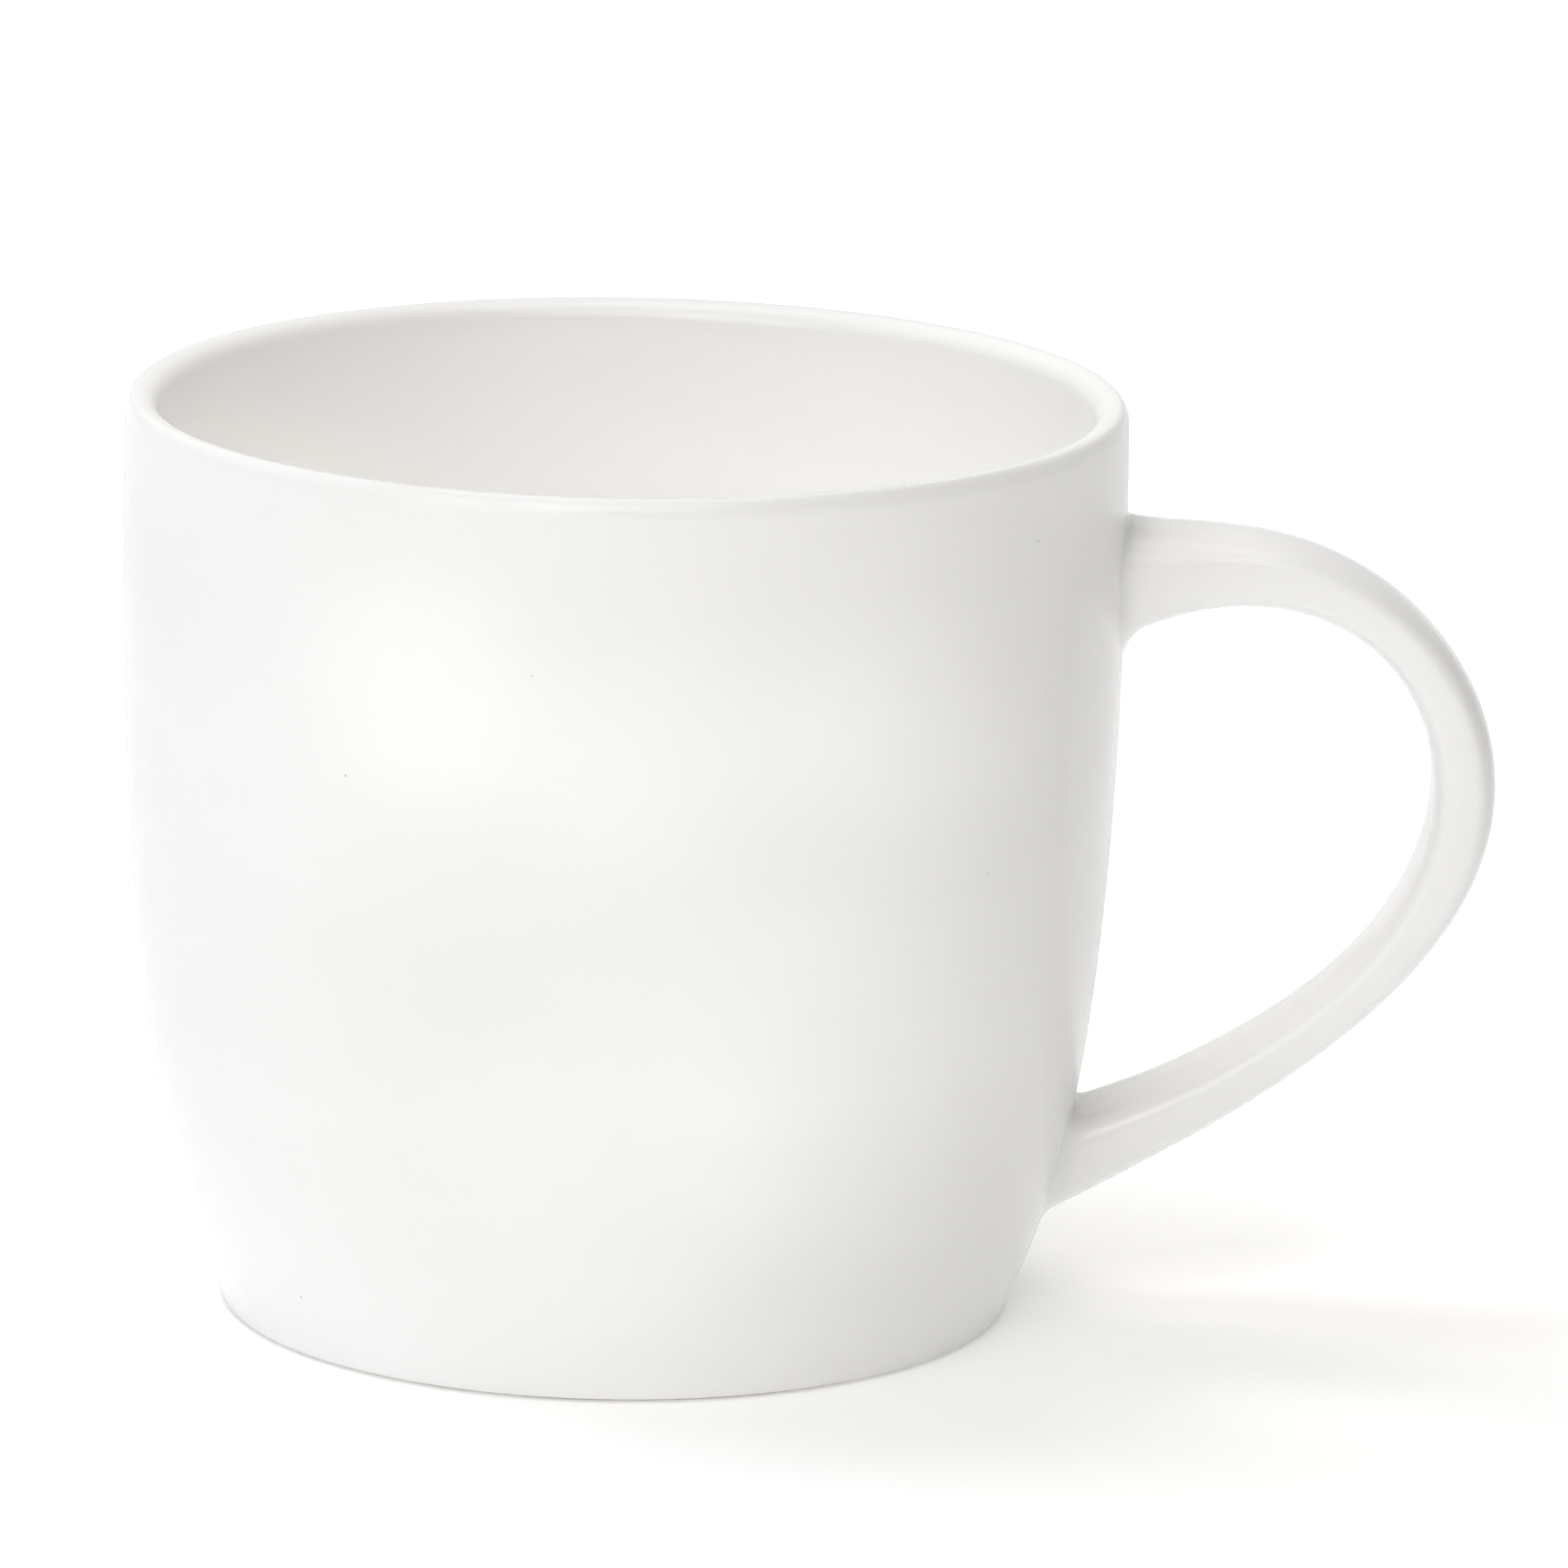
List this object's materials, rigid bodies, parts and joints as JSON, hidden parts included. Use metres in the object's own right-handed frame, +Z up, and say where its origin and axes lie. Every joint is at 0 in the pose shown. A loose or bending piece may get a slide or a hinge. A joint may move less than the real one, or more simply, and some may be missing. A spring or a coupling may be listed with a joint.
{
  "type": "ceramic mug",
  "caption": "White glazed barrel-shaped ceramic mug with a round D-shaped strap handle and a bare foot ring.",
  "frame": {"origin": "middle of the foot ring's resting face, on the cup's axis", "axes": "+Z up along the cup's axis, +X towards the handle, +Y across it; the handle lies in the XZ plane"},
  "size_m": [0.1238, 0.09, 0.0835],
  "materials": {
    "biscuit_clay": "bare fired white clay, fine matt grain",
    "joining_slip": "fired slip of the same white clay",
    "white_glaze": "glossy white glaze with a slight orange-peel surface"
  },
  "bodies": {
    "root": {"cup_body": "biscuit_clay", "handle": "biscuit_clay", "upper_slip_joint": "joining_slip", "lower_slip_joint": "joining_slip", "outside_glaze": "white_glaze", "inside_glaze": "white_glaze", "handle_glaze": "white_glaze", "underside_glaze": "white_glaze"}
  },
  "joints": []
}
